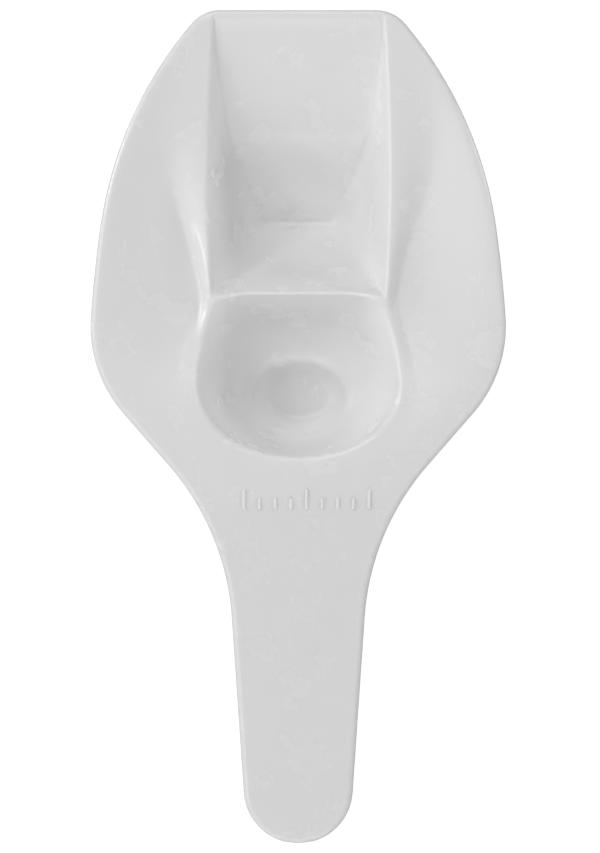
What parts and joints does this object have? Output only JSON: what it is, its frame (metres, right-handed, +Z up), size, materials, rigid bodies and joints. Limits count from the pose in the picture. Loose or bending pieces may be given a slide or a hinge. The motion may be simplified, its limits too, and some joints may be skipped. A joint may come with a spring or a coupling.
{
  "type": "slipper bedpan",
  "caption": "Slipper bedpan in white plastic: flat front lip, ridged channel, deep basin, shallow seat wings and a long flat paddle handle.",
  "frame": {"origin": "on the table plane, under the middle of the pan's overall length and width", "axes": "+Y from the handle to the front lip, +X to the right seen from above with the lip ahead, +Z up out of the open side"},
  "size_m": [0.239, 0.4798, 0.0665],
  "materials": {
    "shell_plastic": "smooth semi-gloss white polypropylene",
    "cover_plastic": "smooth semi-gloss white polypropylene"
  },
  "bodies": {
    "root": {"pan_shell": "shell_plastic", "handle_cover": "cover_plastic"}
  },
  "joints": []
}
